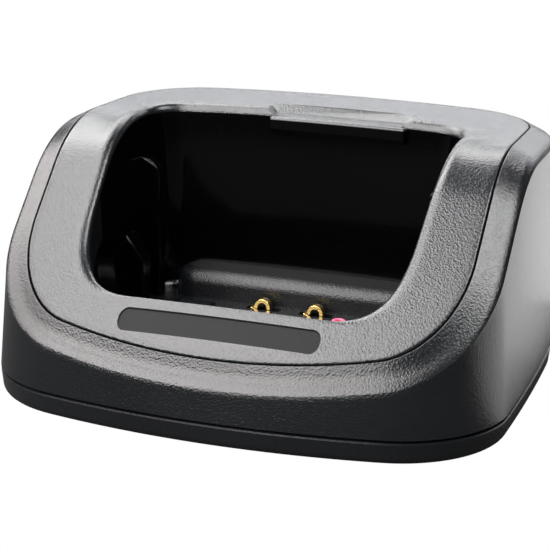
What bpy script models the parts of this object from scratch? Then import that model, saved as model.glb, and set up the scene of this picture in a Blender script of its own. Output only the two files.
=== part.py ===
"""Desktop drop-in charging cradle for a handheld two-way radio.

Frame: +X to the right of the user, +Y to the back, +Z up, origin on the table under the middle of the cradle.
All design values are in millimetres and become metres in solid().
"""

import math
from collections import namedtuple

import bmesh
import bpy
from mathutils import Matrix, Vector

MM = 0.001

# ---- driving dimensions -------------------------------------------------------------------------------------
GAP = 0.3                   # clearance kept between two pieces that touch
FOOT_RISE = 0.6             # the rubber feet lift the base by this much
PARTING_Z = 4.95            # line where the outer shell meets the base cover
TOP_Z = 47.8                # level rear part of the top face, on the centre line
SLOPE = math.radians(45.0)  # rise of the front part of the top face
BEND_Y = -5.2               # where the slope would meet the level part
BEND_RADIUS = 24.0          # rounding between the two
CROWN = 1.3                 # how far the top face falls from the centre line to the side walls
HALF_WIDTH = 47.0
WALL = 2.0                  # thickness of the mouldings

SHOULDER_WIDTH = 3.75       # strip of the shell between the groove and the crease
SHOULDER_SPREAD = 0.6       # it is wider by this much at the sides
SHOULDER_ROLL = math.radians(25.0)
CREASE_STEP = 0.9           # the crease rounds over to the wall by this much, outwards and down

FLOOR_Z = 11.6              # pocket floor under the radio's foot
FLOOR_THICKNESS = 1.8
LEDGE_Z = 17.0              # step that carries the battery
LEDGE_Y = (4.7, 10.6)
LEDGE_HALF_WIDTH = 24.5
POCKET_DRAFT = math.tan(math.radians(3.5))
MOUTH_FILLET = 1.9          # rounding of the pocket's mouth at the sides and the back
FRONT_FILLET = 0.45          # and at the front
LEAD_IN = (2.0, 4.2)        # extra rounding out and down in the front corners

FIN_FACE = 25.8             # inner faces of the side fins
REAR_FIN_Y = (2.6, 5.4)
REAR_FIN_TOP = 38.5
FRONT_FIN_Y = (-5.6, -1.6)
FRONT_FIN_TOP = 25.4
FRONT_FIN_SLOPE = 4.5
TONGUE_X = (-8.6, 20.0)     # locating tongue on the rear rim
TONGUE_FRONT_Y = 12.5
TONGUE_STEP_Y = (17.4, 19.6)
TONGUE_DROP = 1.25
PLATE_X = 18.0              # blank name panel on the sloped face
PLATE_Y = (-35.6, -32.4)
PLATE_DEPTH = 0.35

BOARD_HALF_WIDTH = 28.6
BOARD_Y = (-12.0, 35.0)
BOARD_Z = (5.4, 7.0)
BASE_FLOOR_Z = FOOT_RISE + WALL

CONTACTS_X = (-4.8, 5.6)
CONTACT_Y = 2.9
CONTACT_WIDTH = 1.6
CONTACT_THICKNESS = 0.3
CONTACT_ROOT = 6.0          # from the head to the hinge line of the leaf
CONTACT_ROOT_Z = 7.7

LED_PLACE = (11.2, -0.9)
JACK_Z = 13.0
JACK_BORE = 3.15
FRONT_POST = (34.2, -21.5)
REAR_POST = (32.2, 25.0)
POST_RADIUS = 2.6
BOARD_SCREW = (25.0, 8.0)
FOOT_PLACE = (24.0, 32.0)
FOOT_RADIUS = 4.0

# An outline is four bowed sides with round corners. It is symmetric about X = 0.
Outline = namedtuple("Outline", "half_width widest_y front_y back_y front_bow side_bow back_bow front_corner "
                                "back_corner")
BODY = Outline(HALF_WIDTH, 1.5, -40.9, 40.9, 145.0, 600.0, 600.0, 21.0, 19.5)
GROOVE = Outline(40.4, 1.7, -38.0, 34.2, 138.0, 846.0, 846.0, 15.3, 13.8)
POCKET = Outline(28.4, 4.0, -30.25, 12.4, 2000.0, 846.0, 250.0, 12.5, 4.0)
SECTION_STEPS = (6, 7, 6, 6, 6)   # front half, front corner, side, back corner, back half


# ---- outlines and the top face --------------------------------------------------------------------------------
def circles_meet(centre_a, radius_a, centre_b, radius_b, back):
    """The crossing of two circles on the +X side that lies further back, or further forward."""
    between = centre_b - centre_a
    distance = between.length
    along = (distance**2 + radius_a**2 - radius_b**2) / (2 * distance)
    across = math.sqrt(max(radius_a**2 - along**2, 0.0))
    unit = between / distance
    middle = centre_a + unit * along
    side = Vector((-unit.y, unit.x)) * across
    found = [p for p in (middle + side, middle - side) if p.x > 0]
    return max(found, key=lambda p: p.y) if back else min(found, key=lambda p: p.y)


def outline(shape):
    """Points of an outline and their outward normals, counter-clockwise from the front centre."""
    front = Vector((0, shape.front_y + shape.front_bow))
    side = Vector((shape.half_width - shape.side_bow, shape.widest_y))
    back = Vector((0, shape.back_y - shape.back_bow))
    corner_1 = circles_meet(front, shape.front_bow - shape.front_corner,
                            side, shape.side_bow - shape.front_corner, back=False)
    corner_2 = circles_meet(side, shape.side_bow - shape.back_corner,
                            back, shape.back_bow - shape.back_corner, back=True)

    def heading(frm, to):
        return math.atan2(to.y - frm.y, to.x - frm.x)

    turns = [-math.pi / 2, heading(front, corner_1), heading(side, corner_1),
             heading(side, corner_2), heading(back, corner_2), math.pi / 2]
    centres = [front, corner_1, side, corner_2, back]
    radii = [shape.front_bow, shape.front_corner, shape.side_bow, shape.back_corner, shape.back_bow]
    half = []
    for centre, radius, start, end, steps in zip(centres, radii, turns, turns[1:], SECTION_STEPS):
        for i in range(steps):
            angle = start + (end - start) * i / steps
            normal = Vector((math.cos(angle), math.sin(angle)))
            half.append((centre + normal * radius, normal))
    half.append((Vector((0, shape.back_y)), Vector((0, 1))))
    mirror = [(Vector((-p.x, p.y)), Vector((-n.x, n.y))) for p, n in reversed(half[1:-1])]
    return half + mirror


def top_height(x, y):
    """The top face: a straight slope, a round bend, a level rear part, and a slight crown across."""
    tangent = BEND_RADIUS * math.tan(SLOPE / 2)
    bend_start = BEND_Y - tangent * math.cos(SLOPE)
    bend_end = BEND_Y + tangent
    if y < bend_start:
        height = TOP_Z + math.tan(SLOPE) * (y - BEND_Y)
    elif y < bend_end:
        height = TOP_Z - BEND_RADIUS + math.sqrt(BEND_RADIUS**2 - (bend_end - y)**2)
    else:
        height = TOP_Z
    return height - CROWN * (x / HALF_WIDTH) ** 2


def top_normal(x, y):
    step = 0.05
    slope_x = (top_height(x + step, y) - top_height(x - step, y)) / (2 * step)
    slope_y = (top_height(x, y + step) - top_height(x, y - step)) / (2 * step)
    return Vector((-slope_x, -slope_y, 1)).normalized()


def flat_ring(shape, grow, z):
    """A level ring, parallel to an outline."""
    return [Vector((*(p + n * grow), z)) for p, n in outline(shape)]


def top_ring(shape, grow, sink=0.0):
    """A ring parallel to an outline in plan, at a depth measured square to the top face."""
    ring = []
    for p, n in outline(shape):
        at = p + n * grow
        ring.append(Vector((at.x, at.y, top_height(at.x, at.y))) - top_normal(at.x, at.y) * sink)
    return ring


def mouth_size(normal):
    """How far the pocket's mouth rounds out and down, for a direction out of the pocket."""
    front = max(-normal.y, 0.0)
    corner = 4 * (front * normal.x) ** 2
    radius = FRONT_FILLET + (MOUTH_FILLET - FRONT_FILLET) * (1 - front**2)
    return radius + LEAD_IN[0] * corner, radius + LEAD_IN[1] * corner


def mouth_ring(out_share, down_share, extra=0.0):
    """A ring of the pocket's mouth: shares of the rounding out and down, plus an extra offset outwards."""
    ring = []
    for p, n in outline(POCKET):
        out_size, down_size = mouth_size(n)
        start = out_size * out_share + extra
        out = start
        for _ in range(12):
            at = p + n * out
            z = top_height(at.x, at.y) - down_size * down_share
            out = start + POCKET_DRAFT * (z - FLOOR_Z)
        ring.append(Vector((at.x, at.y, z)))
    return ring


def wall_ring(z, grow=0.0):
    """A level ring of the pocket's drafted wall."""
    return flat_ring(POCKET, grow + POCKET_DRAFT * (z - FLOOR_Z), z)


def shoulder_ring(share, sink=0.0):
    """The shell's shoulder: it leaves the groove and rolls down to the crease, where share is 1."""
    groove = top_ring(GROOVE, 0.0)
    ring = []
    for i, p in enumerate(groove):
        along = (groove[(i + 1) % len(groove)] - groove[i - 1]).normalized()
        up = top_normal(p.x, p.y)
        out = along.cross(up)
        width = share * (SHOULDER_WIDTH + SHOULDER_SPREAD * abs(out.x))
        rolled_out = out * math.cos(SHOULDER_ROLL) - up * math.sin(SHOULDER_ROLL)
        rolled_up = up * math.cos(SHOULDER_ROLL) + out * math.sin(SHOULDER_ROLL)
        ring.append(p + rolled_out * width - rolled_up * sink)
    return ring


def tongue_rings(round_steps):
    """The locating tongue: a pad below the rear rim that reaches forward over the pocket."""
    left, right = TONGUE_X
    stations = ((left, 14.9), (left + 1.1, TONGUE_FRONT_Y), (left + 9.0, TONGUE_FRONT_Y - 0.1),
                (right - 9.0, TONGUE_FRONT_Y - 0.1), (right - 1.6, TONGUE_FRONT_Y), (right, 14.9))
    radius = 0.6
    rings = []
    for x, front in stations:
        top = top_height(x, 20.0) - TONGUE_DROP - 0.18
        profile = [(16.4, top + 0.12)]
        for i in range(round_steps + 1):
            angle = i / round_steps * math.pi / 2
            profile.append((front + radius * (1 - math.sin(angle)), top - radius * (1 - math.cos(angle))))
        profile += [(front, top - 2.2), (15.9, top - 5.0), (16.4, top - 5.0)]
        rings.append([Vector((x, y, z)) for y, z in profile])
    return rings


def tongue_step():
    """The cut above the tongue: the level rear face steps down to it, with a ramp at each end."""
    left, right = TONGUE_X
    rings = []
    for x, share in ((left - 0.4, 0.0), (left + 0.9, 1.0), (right - 2.4, 1.0), (right + 0.4, 0.0)):
        top = top_height(x, 20.0)
        low, high = TONGUE_STEP_Y
        profile = ((high, top + 0.02), (low, top + 0.02 - TONGUE_DROP * share),
                   (11.0, top + 0.02 - (TONGUE_DROP + 0.2) * share), (11.0, top + 3.0), (high, top + 3.0))
        rings.append([Vector((x, y, z)) for y, z in profile])
    return rings


def fin_rings(side, span, crest):
    """A fin on the pocket's side wall. Its crest is (share, z) points, from 1 at its inner face to 0 at the wall."""
    low = FLOOR_Z - 0.5
    high = crest[-1][1]

    def wall(z):
        return POCKET.half_width + POCKET_DRAFT * (z - FLOOR_Z)

    points = [(wall(low) + 1.2, low), (FIN_FACE, low)]
    points += [(wall(z) + (FIN_FACE - wall(z)) * share, z) for share, z in crest]
    points.append((wall(high) + 1.2, high))
    return [[Vector((side * x, y, z)) for x, z in points] for y in span]


def rear_crest(steps):
    """A quarter round from the fin's inner face up to the wall."""
    drop = 4.0
    angles = [math.pi / 2 * i / steps for i in range(steps + 1)]
    return [(math.cos(a), REAR_FIN_TOP - drop + drop * math.sin(a)) for a in angles]


def front_crest():
    return [(1.0, FRONT_FIN_TOP - FRONT_FIN_SLOPE), (0.0, FRONT_FIN_TOP)]


def blend(ring_a, ring_b, share):
    return [a.lerp(b, share) for a, b in zip(ring_a, ring_b)]


def stepped(ring, out, down):
    """A ring moved outwards in plan and down."""
    moved = []
    for i, p in enumerate(ring):
        along = ring[(i + 1) % len(ring)] - ring[i - 1]
        normal = Vector((along.y, -along.x, 0)).normalized()
        moved.append(p + normal * out - Vector((0, 0, down)))
    return moved


# ---- meshes, materials and booleans -------------------------------------------------------------------------
def clear_scene():
    for found in list(bpy.data.objects):
        bpy.data.objects.remove(found, do_unlink=True)


def material(name, colour, roughness, metallic=0.0):
    made = bpy.data.materials.new(name)
    made.use_nodes = True
    shader = made.node_tree.nodes["Principled BSDF"]
    shader.inputs["Base Color"].default_value = (*colour, 1.0)
    shader.inputs["Roughness"].default_value = roughness
    shader.inputs["Metallic"].default_value = metallic
    return made


def solid(name, bm, paint, smooth=True):
    """Turn a mesh in millimetres into an object in metres, faces pointing out."""
    bmesh.ops.remove_doubles(bm, verts=bm.verts, dist=1e-4)
    bmesh.ops.recalc_face_normals(bm, faces=bm.faces)
    bmesh.ops.scale(bm, vec=(MM, MM, MM), verts=bm.verts)
    mesh = bpy.data.meshes.new(name)
    bm.to_mesh(mesh)
    bm.free()
    if smooth:
        mesh.shade_smooth()
        mesh.set_sharp_from_angle(angle=math.radians(35))
    made = bpy.data.objects.new(name, mesh)
    bpy.context.scene.collection.objects.link(made)
    if paint is not None:
        mesh.materials.append(paint)
    return made


def loft(rings, closed):
    """Bridge rings of equal count, and either join the last to the first or cap both ends."""
    bm = bmesh.new()
    loops = [[bm.verts.new(p) for p in ring] for ring in rings]
    pairs = list(zip(loops, loops[1:]))
    if closed:
        pairs.append((loops[-1], loops[0]))
    for lower, upper in pairs:
        for i in range(len(lower)):
            j = (i + 1) % len(lower)
            bm.faces.new((lower[i], lower[j], upper[j], upper[i]))
    if not closed:
        bm.faces.new(list(reversed(loops[0])))
        bm.faces.new(loops[-1])
    return bm


def box(low, high):
    bm = bmesh.new()
    bmesh.ops.create_cube(bm, size=1.0)
    size = Vector(high) - Vector(low)
    middle = (Vector(high) + Vector(low)) / 2
    bmesh.ops.transform(bm, matrix=Matrix.Translation(middle) @ Matrix.Diagonal((*size, 1)), verts=bm.verts)
    return bm


def round_plan(low, high, radius, steps):
    """Points of a rectangle with round corners, at the height of low."""
    ring = []
    corners = ((high[0], high[1], 0), (low[0], high[1], 1), (low[0], low[1], 2), (high[0], low[1], 3))
    for x, y, quarter in corners:
        centre_x = x - math.copysign(radius, x - (low[0] + high[0]) / 2)
        centre_y = y - math.copysign(radius, y - (low[1] + high[1]) / 2)
        for i in range(steps + 1):
            angle = (quarter + i / steps) * math.pi / 2
            ring.append(Vector((centre_x + radius * math.cos(angle), centre_y + radius * math.sin(angle), low[2])))
    return ring


def round_box(low, high, radius, steps=3):
    """A block whose four upright edges are round."""
    plan = round_plan(low, high, radius, steps)
    return loft([[Vector((p.x, p.y, z)) for p in plan] for z in (low[2], high[2])], closed=False)


def turned(profile, place, steps=24, axis="Z"):
    """A round solid from (radius, height) pairs, about an axis through a place."""
    rings = []
    for radius, height in profile:
        ring = []
        for i in range(steps):
            angle = 2 * math.pi * i / steps
            a, b = radius * math.cos(angle), radius * math.sin(angle)
            ring.append(Vector((a, b, height) if axis == "Z" else (a, height, b)) + Vector(place))
        rings.append(ring)
    return loft(rings, closed=False)


def swept_strip(path, thickness, width, middle, axis):
    """A bent metal strip: a path in a vertical plane, given a thickness, and a width along X or Y."""
    edge = []
    for side in (1, -1):
        row = []
        for i, p in enumerate(path):
            before = path[max(i - 1, 0)]
            after = path[min(i + 1, len(path) - 1)]
            along = Vector((after[0] - before[0], after[1] - before[1])).normalized()
            row.append(Vector(p) + Vector((-along.y, along.x)) * side * thickness / 2)
        edge += row if side == 1 else reversed(row)
    rings = []
    for offset in (-width / 2, width / 2):
        if axis == "Y":
            rings.append([Vector((p.x, middle + offset, p.y)) for p in edge])
        else:
            rings.append([Vector((middle + offset, p.x, p.y)) for p in edge])
    return loft(rings, closed=False)


def cut(body, tools, operation="DIFFERENCE"):
    """Cut or join other meshes with the exact solver, as modifiers that stay on the object."""
    for i, tool in enumerate(tools):
        cutter = solid(f"{body.name}_tool_{i}_{operation.lower()}", tool, None, smooth=False)
        cutter.hide_render = True
        cutter.hide_viewport = True
        cutter.display_type = "WIRE"
        modifier = body.modifiers.new(cutter.name, "BOOLEAN")
        modifier.operation = operation
        modifier.solver = "EXACT"
        modifier.object = cutter
    return body


def four(place):
    return [(sx * place[0], sy * place[1]) for sy in (-1, 1) for sx in (-1, 1)]


def posts():
    """Left and right of the front pair, then of the rear pair."""
    return [(sx * x, y) for x, y in (FRONT_POST, REAR_POST) for sx in (-1, 1)]


# ---- housing ------------------------------------------------------------------------------------------------
def wall_outer(share):
    """Rings of the outer wall: 0 at the parting line, 1 just under the crease."""
    high = stepped(shoulder_ring(1.0), CREASE_STEP, CREASE_STEP * 1.3)
    return blend(flat_ring(BODY, 0.0, PARTING_Z), high, share)


def make_outer_shell(paint):
    inner_low = flat_ring(BODY, -WALL, PARTING_Z)
    inner_shelf = flat_ring(BODY, -WALL, PARTING_Z + 1.6)
    inner_high = shoulder_ring(0.6, WALL)
    rings = [
        wall_outer(0.0), wall_outer(0.5), wall_outer(1.0),
        stepped(shoulder_ring(1.0), CREASE_STEP * 0.35, CREASE_STEP * 0.35), shoulder_ring(0.88), shoulder_ring(0.07),
        top_ring(GROOVE, 0.1, 0.5), top_ring(GROOVE, 0.1, WALL + GAP), top_ring(GROOVE, -1.4, WALL + GAP),
        top_ring(GROOVE, -1.4, WALL + GAP + 1.0), top_ring(GROOVE, 0.0, WALL + GAP + 1.6),
        inner_high, blend(inner_high, inner_shelf, 0.5), inner_shelf, inner_low,
    ]
    shell = solid("outer_shell", loft(rings, closed=True), paint)
    jack_hole = turned([(4.5, 36.0), (4.5, 43.0)], (0, 0, JACK_Z), axis="Y")
    return cut(shell, [jack_hole])


def make_base_cover(paint):
    edge = 1.5
    lip_z = PARTING_Z + 1.3
    rings = [
        flat_ring(BODY, -0.3 - edge, FOOT_RISE), flat_ring(BODY, -0.3 - edge * 0.3, FOOT_RISE + edge * 0.3),
        flat_ring(BODY, -0.3, FOOT_RISE + edge), flat_ring(BODY, 0.0, PARTING_Z - 0.8),
        flat_ring(BODY, -0.35, PARTING_Z - 0.35), flat_ring(BODY, -WALL - GAP, PARTING_Z - 0.35),
        flat_ring(BODY, -WALL - GAP, lip_z), flat_ring(BODY, -WALL - GAP - 1.3, lip_z),
        flat_ring(BODY, -WALL - GAP - 1.3, BASE_FLOOR_Z),
    ]
    cover = solid("base_cover", loft(rings, closed=False), paint)
    bosses = [turned([(3.9, BASE_FLOOR_Z - 0.5), (3.9, 4.2)], (x, y, 0), 20) for x, y in posts()]
    standoffs = [turned([(2.8, BASE_FLOOR_Z - 0.5), (2.8, BOARD_Z[0] - GAP)], (sx * BOARD_SCREW[0], BOARD_SCREW[1], 0),
                        16) for sx in (-1, 1)]
    cut(cover, bosses + standoffs, "UNION")
    counterbores = [turned([(2.9, 0.0), (2.9, 2.6)], (x, y, 0), 20) for x, y in posts()]
    clearance = [turned([(1.55, 1.0), (1.55, 5.0)], (x, y, 0), 12) for x, y in posts()]
    pilots = [turned([(1.1, 2.9), (1.1, 6.0)], (sx * BOARD_SCREW[0], BOARD_SCREW[1], 0), 12) for sx in (-1, 1)]
    recesses = [turned([(FOOT_RADIUS + GAP, 0.0), (FOOT_RADIUS + GAP, FOOT_RISE + 0.8)], (x, y, 0))
                for x, y in four(FOOT_PLACE)]
    return cut(cover, counterbores + clearance + pilots + recesses)


def side_fins():
    """Two fins on each side wall guide the radio in."""
    fins = []
    for side in (-1, 1):
        fins.append(loft(fin_rings(side, REAR_FIN_Y, rear_crest(5)), closed=False))
        fins.append(loft(fin_rings(side, FRONT_FIN_Y, front_crest()), closed=False))
    return fins


def ledge_block():
    """The step that carries the battery, with its top front edge bevelled."""
    rings = []
    for inset, z in ((0.0, FLOOR_Z - 0.5), (0.0, LEDGE_Z - 2.0), (0.6, LEDGE_Z - 0.6), (2.0, LEDGE_Z)):
        rings.append(round_plan((-LEDGE_HALF_WIDTH + inset, LEDGE_Y[0] + inset, z),
                                (LEDGE_HALF_WIDTH - inset, LEDGE_Y[1] + 3.0, z), 3.6 - inset, 4))
    return loft(rings, closed=False)


def plate_recess(end_steps, middle_steps):
    """The blank name panel: a shallow cut that follows the sloped face, with round ends."""
    middle_y = (PLATE_Y[0] + PLATE_Y[1]) / 2
    half = (PLATE_Y[1] - PLATE_Y[0]) / 2
    straight = PLATE_X - half
    angles = [math.radians(15 + 75 * i / end_steps) for i in range(end_steps + 1)]
    right = [(straight + half * math.cos(a), half * math.sin(a)) for a in angles]
    middle = [(straight * (1 - 2 * i / middle_steps), half) for i in range(1, middle_steps)]
    left = [(-x, reach) for x, reach in reversed(right)]
    rings = []
    for x, reach in right + middle + left:
        front, back = middle_y - reach, middle_y + reach
        corners = ((front, -PLATE_DEPTH), (back, -PLATE_DEPTH), (back, 2.0), (front, 2.0))
        rings.append([Vector((x, y, top_height(x, y) + rise)) for y, rise in corners])
    return loft(rings, closed=False)


def make_pocket_bezel(paint):
    rings = [
        wall_ring(FLOOR_Z, -1.2), wall_ring(FLOOR_Z + 0.6, -0.2), wall_ring(FLOOR_Z + 1.4, 0.0),
        mouth_ring(0.0, 1.0), mouth_ring(0.3, 0.3), mouth_ring(1.0, 0.0),
        top_ring(GROOVE, -0.6), top_ring(GROOVE, -0.25, 0.4), top_ring(GROOVE, -0.25, WALL),
        top_ring(GROOVE, -2.9, WALL), mouth_ring(0.0, 1.0, WALL),
        wall_ring(FLOOR_Z, WALL), wall_ring(FLOOR_Z - FLOOR_THICKNESS, WALL - 0.6),
    ]
    bezel = solid("pocket_bezel", loft(rings, closed=False), paint)
    bottom = FLOOR_Z - FLOOR_THICKNESS
    pillars = [turned([(POST_RADIUS, 4.5), (POST_RADIUS, top_height(x, y - POST_RADIUS) - 1.0)], (x, y, 0), 16)
               for x, y in posts()]
    tongue = loft(tongue_rings(3), closed=False)
    cut(bezel, [loft(tongue_step(), closed=False)])
    cut(bezel, [ledge_block(), tongue] + side_fins() + pillars, "UNION")
    slots = [round_box((x - 3.2, CONTACT_Y - 1.15, bottom - 1), (x + 3.4, CONTACT_Y + 1.15, FLOOR_Z + 1), 0.5, 2)
             for x in CONTACTS_X]
    led_x, led_y = LED_PLACE
    recess = round_box((led_x - 2.6, led_y - 1.5, FLOOR_Z - 0.5), (led_x + 2.6, led_y + 1.5, FLOOR_Z + 1), 1.49, 4)
    led_hole = turned([(1.85, bottom - 1), (1.85, FLOOR_Z + 1)], (*LED_PLACE, 0), 20)
    pilots = [turned([(1.5, 4.0), (1.5, 14.0)], (x, y, 0), 12) for x, y in posts()]
    return cut(bezel, slots + [recess, led_hole, plate_recess(3, 6)] + pilots)


def make_feet(paint):
    for i, (x, y) in enumerate(four(FOOT_PLACE), 1):
        profile = [(FOOT_RADIUS - 0.4, 0.0), (FOOT_RADIUS, 0.4), (FOOT_RADIUS, FOOT_RISE + 0.5)]
        solid(f"rubber_foot_{i}", turned(profile, (x, y, 0)), paint)


# ---- fasteners ----------------------------------------------------------------------------------------------
def screw(name, paint, place, head_z, head, shank, facing):
    """A pan-head screw. head and shank are (radius, length); facing is +1 with the head on top."""
    (head_radius, head_height), (radius, length) = head, shank
    profile = [(radius * 0.5, -facing * length), (radius, -facing * (length - radius)), (radius, 0.0),
               (head_radius, 0.0), (head_radius, facing * head_height * 0.5),
               (head_radius * 0.72, facing * head_height)]
    made = solid(name, turned([(r, head_z + h) for r, h in profile], (*place, 0), 16), paint)
    slot_z = (head_z + facing * head_height * 0.45, head_z + facing * (head_height + 0.5))
    arm, half = head_radius * 0.55, head_radius * 0.12
    cross = [box((place[0] - a, place[1] - b, min(slot_z)), (place[0] + a, place[1] + b, max(slot_z)))
             for a, b in ((arm, half), (half, arm))]
    return cut(made, cross)


def make_screws(paint):
    for i, place in enumerate(posts(), 1):
        screw(f"base_screw_{i}", paint, place, 2.3, (2.4, 1.4), (1.2, 9.0), -1)
    for i, sx in enumerate((-1, 1), 1):
        screw(f"board_screw_{i}", paint, (sx * BOARD_SCREW[0], BOARD_SCREW[1]), BOARD_Z[1] + GAP, (1.9, 1.2),
              (0.8, 3.6), 1)


# ---- charging contacts --------------------------------------------------------------------------------------
def leaf_path(middle):
    """(x, z) points of a contact leaf, from its root on the board, over the round head, to the free end."""
    path = [(CONTACT_ROOT, CONTACT_ROOT_Z), (2.8, CONTACT_ROOT_Z + 0.4), (1.8, CONTACT_ROOT_Z + 1.4),
            (1.5, FLOOR_Z + 0.6)]
    for i in range(1, 8):
        angle = math.pi * i / 8
        path.append((1.5 * math.cos(angle), FLOOR_Z + 0.6 + 1.5 * math.sin(angle)))
    path += [(-1.5, FLOOR_Z + 0.6), (-1.6, FLOOR_Z - 0.6), (-2.4, FLOOR_Z - 1.0)]
    return [(middle + x, z) for x, z in path]


def make_contacts(gold, base_paint):
    for middle, name in zip(CONTACTS_X, ("left", "right")):
        leaf = swept_strip(leaf_path(middle), CONTACT_THICKNESS, CONTACT_WIDTH, CONTACT_Y, "Y")
        made = solid(f"contact_leaf_{name}", leaf, gold)
        hinge = Vector((middle + CONTACT_ROOT, CONTACT_Y, CONTACT_ROOT_Z)) * MM
        made.data.transform(Matrix.Translation(-hinge))
        made.location = hinge
        near = middle + CONTACT_ROOT + GAP
        solid(f"contact_base_{name}", round_box((near, CONTACT_Y - 1.3, BOARD_Z[1] + GAP),
                                                (near + 2.6, CONTACT_Y + 1.3, CONTACT_ROOT_Z + 0.5), 0.4, 2), base_paint)


# ---- power inlet --------------------------------------------------------------------------------------------
def make_jack(housing_paint, metal):
    low, high = (-4.5, 23.5, BOARD_Z[1] + GAP), (4.5, 37.2, 18.4)
    housing = solid("dc_jack_housing", round_box(low, high, 0.6, 2), housing_paint)
    nose = turned([(4.1, 36.5), (4.1, 39.6)], (0, 0, JACK_Z), axis="Y")
    cut(housing, [nose], "UNION")
    bore = turned([(JACK_BORE, 28.5), (JACK_BORE, 41.0)], (0, 0, JACK_Z), axis="Y")
    pin_hole = turned([(1.3, 26.0), (1.3, 30.0)], (0, 0, JACK_Z), 12, axis="Y")
    channel = box((-1.3, 28.5, JACK_Z - 4.7), (1.3, 36.4, JACK_Z))
    cut(housing, [bore, pin_hole, channel])
    pin = turned([(1.0, 26.3), (1.0, 37.6), (0.6, 38.4)], (0, 0, JACK_Z), 14, axis="Y")
    solid("dc_jack_pin", pin, metal)
    path = [(29.2, JACK_Z - 4.2), (31.0, JACK_Z - 3.7), (33.4, JACK_Z - 2.75), (34.4, JACK_Z - 2.7),
            (35.6, JACK_Z - 3.5)]
    leaf = solid("dc_jack_leaf", swept_strip(path, 0.25, 1.8, 0.0, "X"), metal)
    hinge = Vector((0, path[0][0], path[0][1])) * MM
    leaf.data.transform(Matrix.Translation(-hinge))
    leaf.location = hinge


# ---- circuit board ------------------------------------------------------------------------------------------
def make_board(paint):
    board = solid("charger_board", round_box((-BOARD_HALF_WIDTH, BOARD_Y[0], BOARD_Z[0]),
                                             (BOARD_HALF_WIDTH, BOARD_Y[1], BOARD_Z[1]), 1.5), paint)
    holes = [turned([(1.2, 4.0), (1.2, 8.0)], (sx * BOARD_SCREW[0], BOARD_SCREW[1], 0), 12) for sx in (-1, 1)]
    holes += [turned([(0.5, 4.0), (0.5, 8.0)], (x, LED_PLACE[1], 0), 8) for x in led_lead_x()]
    return cut(board, holes)


def led_lead_x():
    return (LED_PLACE[0] - 0.95, LED_PLACE[0] + 0.95)


def make_led(lens, metal):
    profile = [(1.9, BOARD_Z[1] + 0.6), (1.9, BOARD_Z[1] + 1.5), (1.5, BOARD_Z[1] + 1.5), (1.5, FLOOR_Z - 0.6)]
    for i in range(1, 4):
        angle = math.pi / 2 * i / 4
        profile.append((1.5 * math.cos(angle), FLOOR_Z - 0.6 + 1.3 * math.sin(angle)))
    profile.append((0.25, FLOOR_Z + 0.7))
    solid("status_led", turned(profile, (*LED_PLACE, 0), 20), lens)
    for i, x in enumerate(led_lead_x(), 1):
        lead = turned([(0.2, BOARD_Z[0] - 1.2), (0.2, BOARD_Z[1] + 0.3)], (x, LED_PLACE[1], 0), 8)
        solid(f"led_lead_{i}", lead, metal)


def make_chip(name, place, size, legs, body_paint):
    """A moulded package with legs along its two long sides, as one solid."""
    x, y = place
    width, depth, height = size
    low_z = BOARD_Z[1] + GAP
    made = solid(name, round_box((x - width / 2, y - depth / 2, low_z + 0.15),
                                 (x + width / 2, y + depth / 2, low_z + height), 0.2, 1), body_paint, smooth=False)
    pitch = width / legs
    tools = []
    for i in range(legs):
        leg_x = x + (i - (legs - 1) / 2) * pitch
        tools.append(box((leg_x - 0.22, y - depth / 2 - 0.9, low_z), (leg_x + 0.22, y + depth / 2 + 0.9, low_z + 0.35)))
    return cut(made, tools, "UNION")


def make_components(black, can, ceramic, copper):
    top = BOARD_Z[1] + GAP
    make_chip("charge_controller", (-13.0, -5.0), (5.0, 4.0, 1.7), 4, black)
    make_chip("rectifier_diode", (12.0, 20.5), (4.3, 2.8, 2.1), 1, black)
    for i, (x, y) in enumerate(((-19.0, 26.0), (-10.0, 29.0)), 1):
        solid(f"capacitor_{i}", turned([(3.6, top), (4.0, top + 0.5), (4.0, top + 11.0), (3.6, top + 11.5)],
                                       (x, y, 0), 20), can)
    solid("inductor", turned([(4.2, top), (4.2, top + 1.0), (3.4, top + 1.2), (3.4, top + 4.8), (4.2, top + 5.0),
                              (4.2, top + 6.0)], (22.0, 19.8, 0), 20), copper)
    transistor = solid("power_transistor", round_box((17.0, 25.0, top), (27.0, 29.4, top + 9.0), 0.3, 1), black)
    cut(transistor, [box((17.0, 28.2, top + 8.5), (27.0, 29.4, top + 15.0))], "UNION")
    cut(transistor, [turned([(1.8, 27.0), (1.8, 31.0)], (22.0, 0, top + 12.3), 16, axis="Y")])
    for i, (x, y) in enumerate(((-4.0, -7.0), (0.0, -7.0), (4.0, -7.0), (17.0, -7.0)), 1):
        solid(f"chip_resistor_{i}", round_box((x - 0.8, y - 1.6, top), (x + 0.8, y + 1.6, top + 0.6), 0.15, 1),
              ceramic, smooth=False)


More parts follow.
